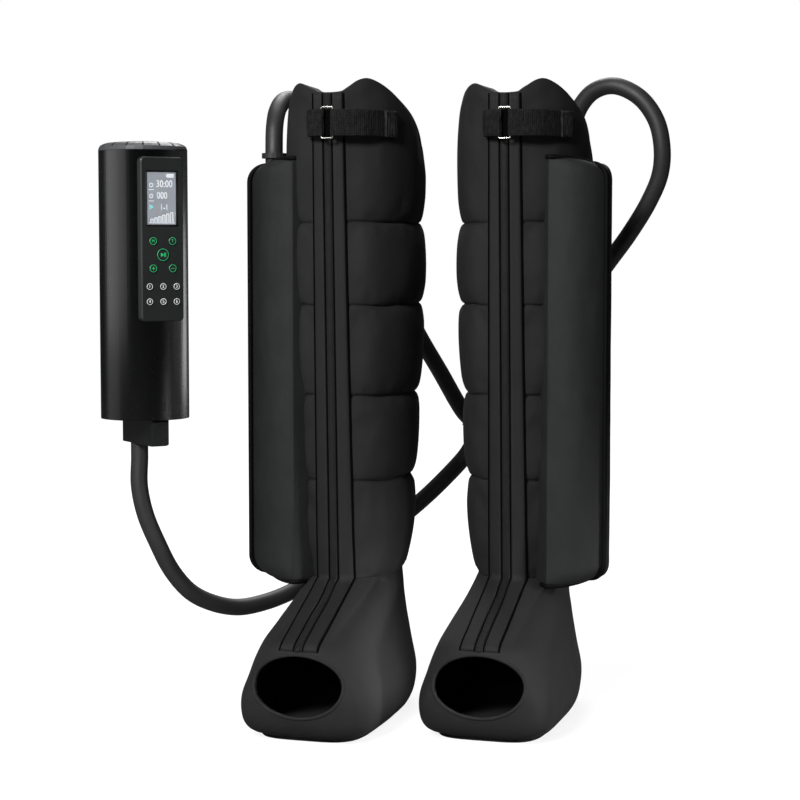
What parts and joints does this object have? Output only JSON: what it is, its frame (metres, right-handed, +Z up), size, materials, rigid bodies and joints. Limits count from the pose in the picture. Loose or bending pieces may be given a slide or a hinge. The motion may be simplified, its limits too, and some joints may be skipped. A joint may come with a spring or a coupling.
{
  "type": "air compression leg massager",
  "caption": "Pair of tall padded air compression boots with open toes, front zips and straps, joined by hoses to a round upright hand controller with a display and push buttons.",
  "frame": {"origin": "on the floor under the leg axis of the left boot (the viewer's left), at the middle of its sole", "axes": "+Z up along the boots, -Y towards the toes, +X towards the second boot"},
  "size_m": [0.6158, 0.429, 0.7289],
  "materials": {
    "boot_cloth": "woven polyester laminated on foam, matt dark grey",
    "sole_cloth": "coarse coated cloth, black",
    "bladder": "coated nylon air bladder, dark grey",
    "zip_coil": "moulded nylon zip coil, black",
    "steel": "plated steel wire and zip slider, bright",
    "webbing": "woven webbing strap, black",
    "air_pipe": "moulded flexible air pipe",
    "piping": "moulded rubber, black",
    "casing": "moulded plastic, satin charcoal",
    "silver_gloss": "silver gloss plastic",
    "panel": "satin dark grey plastic",
    "window": "clear display window",
    "module_grey": "grey plastic",
    "board": "green circuit board",
    "cells": "blue shrink wrap",
    "pump_metal": "painted steel pump body",
    "socket_metal": "plated steel socket shell",
    "button": "satin dark grey plastic",
    "hose": "smooth flexible dark grey hose"
  },
  "bodies": {
    "boots": {"left_leg_sleeve": "boot_cloth", "left_leg_air_chambers": "bladder", "left_foot_shell": "boot_cloth", "left_sole_panel": "sole_cloth", "left_zip_coil": "zip_coil", "left_zip_tape_left": "boot_cloth", "left_zip_tape_right": "boot_cloth", "left_strap_ring": "steel", "left_strap_tab": "webbing", "left_closing_strap": "webbing", "left_side_cover": "boot_cloth", "left_air_pipe": "air_pipe", "left_hose_inlet": "piping", "right_leg_sleeve": "boot_cloth", "right_leg_air_chambers": "bladder", "right_foot_shell": "boot_cloth", "right_sole_panel": "sole_cloth", "right_zip_coil": "zip_coil", "right_zip_tape_left": "boot_cloth", "right_zip_tape_right": "boot_cloth", "right_strap_ring": "steel", "right_strap_tab": "webbing", "right_closing_strap": "webbing", "right_side_cover": "boot_cloth", "right_air_pipe": "air_pipe", "right_hose_inlet": "piping", "hose_plug": "casing", "hose_splitter": "piping", "controller_hose": "hose", "left_hose": "hose", "right_hose": "hose"},
    "controller": {"controller_front_shell": "casing", "controller_rear_shell": "casing", "controller_top_cap": "silver_gloss", "controller_base_socket": "casing", "control_panel": "panel", "display_window": "window", "display_module": "module_grey", "circuit_board": "board", "inner_frame": "casing", "valve_manifold": "module_grey", "battery_pack": "cells", "air_pump": "pump_metal", "charge_socket": "socket_metal"},
    "button_mode_key": {"button_mode": "button"},
    "button_time_key": {"button_time": "button"},
    "button_play_key": {"button_play": "button"},
    "button_plus_key": {"button_plus": "button"},
    "button_minus_key": {"button_minus": "button"},
    "button_chamber_1_key": {"button_chamber_1": "button"},
    "button_chamber_2_key": {"button_chamber_2": "button"},
    "button_chamber_3_key": {"button_chamber_3": "button"},
    "button_chamber_4_key": {"button_chamber_4": "button"},
    "button_chamber_5_key": {"button_chamber_5": "button"},
    "button_chamber_6_key": {"button_chamber_6": "button"},
    "left_slider": {"left_zip_slider": "steel"},
    "left_pull": {"left_zip_pull": "steel"},
    "right_slider": {"right_zip_slider": "steel"},
    "right_pull": {"right_zip_pull": "steel"}
  },
  "joints": [
    {"name": "controller_unplug", "type": "slide", "parent": "boots", "child": "controller", "axis": [0, 0, 1], "range_m": [0, 0.022]},
    {"name": "button_mode_press", "type": "slide", "parent": "controller", "child": "button_mode_key", "axis": [-0.7373, 0.6756, 0], "range_m": [0, 0.0008], "stiffness_N_per_m": 400},
    {"name": "button_time_press", "type": "slide", "parent": "controller", "child": "button_time_key", "axis": [-0.7373, 0.6756, 0], "range_m": [0, 0.0008], "stiffness_N_per_m": 400},
    {"name": "button_play_press", "type": "slide", "parent": "controller", "child": "button_play_key", "axis": [-0.7373, 0.6756, 0], "range_m": [0, 0.0008], "stiffness_N_per_m": 400},
    {"name": "button_plus_press", "type": "slide", "parent": "controller", "child": "button_plus_key", "axis": [-0.7373, 0.6756, 0], "range_m": [0, 0.0008], "stiffness_N_per_m": 400},
    {"name": "button_minus_press", "type": "slide", "parent": "controller", "child": "button_minus_key", "axis": [-0.7373, 0.6756, 0], "range_m": [0, 0.0008], "stiffness_N_per_m": 400},
    {"name": "button_chamber_1_press", "type": "slide", "parent": "controller", "child": "button_chamber_1_key", "axis": [-0.7373, 0.6756, 0], "range_m": [0, 0.0008], "stiffness_N_per_m": 400},
    {"name": "button_chamber_2_press", "type": "slide", "parent": "controller", "child": "button_chamber_2_key", "axis": [-0.7373, 0.6756, 0], "range_m": [0, 0.0008], "stiffness_N_per_m": 400},
    {"name": "button_chamber_3_press", "type": "slide", "parent": "controller", "child": "button_chamber_3_key", "axis": [-0.7373, 0.6756, 0], "range_m": [0, 0.0008], "stiffness_N_per_m": 400},
    {"name": "button_chamber_4_press", "type": "slide", "parent": "controller", "child": "button_chamber_4_key", "axis": [-0.7373, 0.6756, 0], "range_m": [0, 0.0008], "stiffness_N_per_m": 400},
    {"name": "button_chamber_5_press", "type": "slide", "parent": "controller", "child": "button_chamber_5_key", "axis": [-0.7373, 0.6756, 0], "range_m": [0, 0.0008], "stiffness_N_per_m": 400},
    {"name": "button_chamber_6_press", "type": "slide", "parent": "controller", "child": "button_chamber_6_key", "axis": [-0.7373, 0.6756, 0], "range_m": [0, 0.0008], "stiffness_N_per_m": 400},
    {"name": "left_zip_slide", "type": "slide", "parent": "boots", "child": "left_slider", "axis": [0, 0.037, -0.9993], "range_m": [0, 0.47]},
    {"name": "left_zip_pull_swing", "type": "hinge", "parent": "left_slider", "child": "left_pull", "pos_m": [0, -0.10564, 0.67075], "axis": [0, -0.9993, -0.037], "range_deg": [-8, 20]},
    {"name": "right_zip_slide", "type": "slide", "parent": "boots", "child": "right_slider", "axis": [0, 0.037, -0.9993], "range_m": [0, 0.47]},
    {"name": "right_zip_pull_swing", "type": "hinge", "parent": "right_slider", "child": "right_pull", "pos_m": [0.184, -0.04764, 0.67075], "axis": [0, -0.9993, -0.037], "range_deg": [-8, 20]}
  ]
}
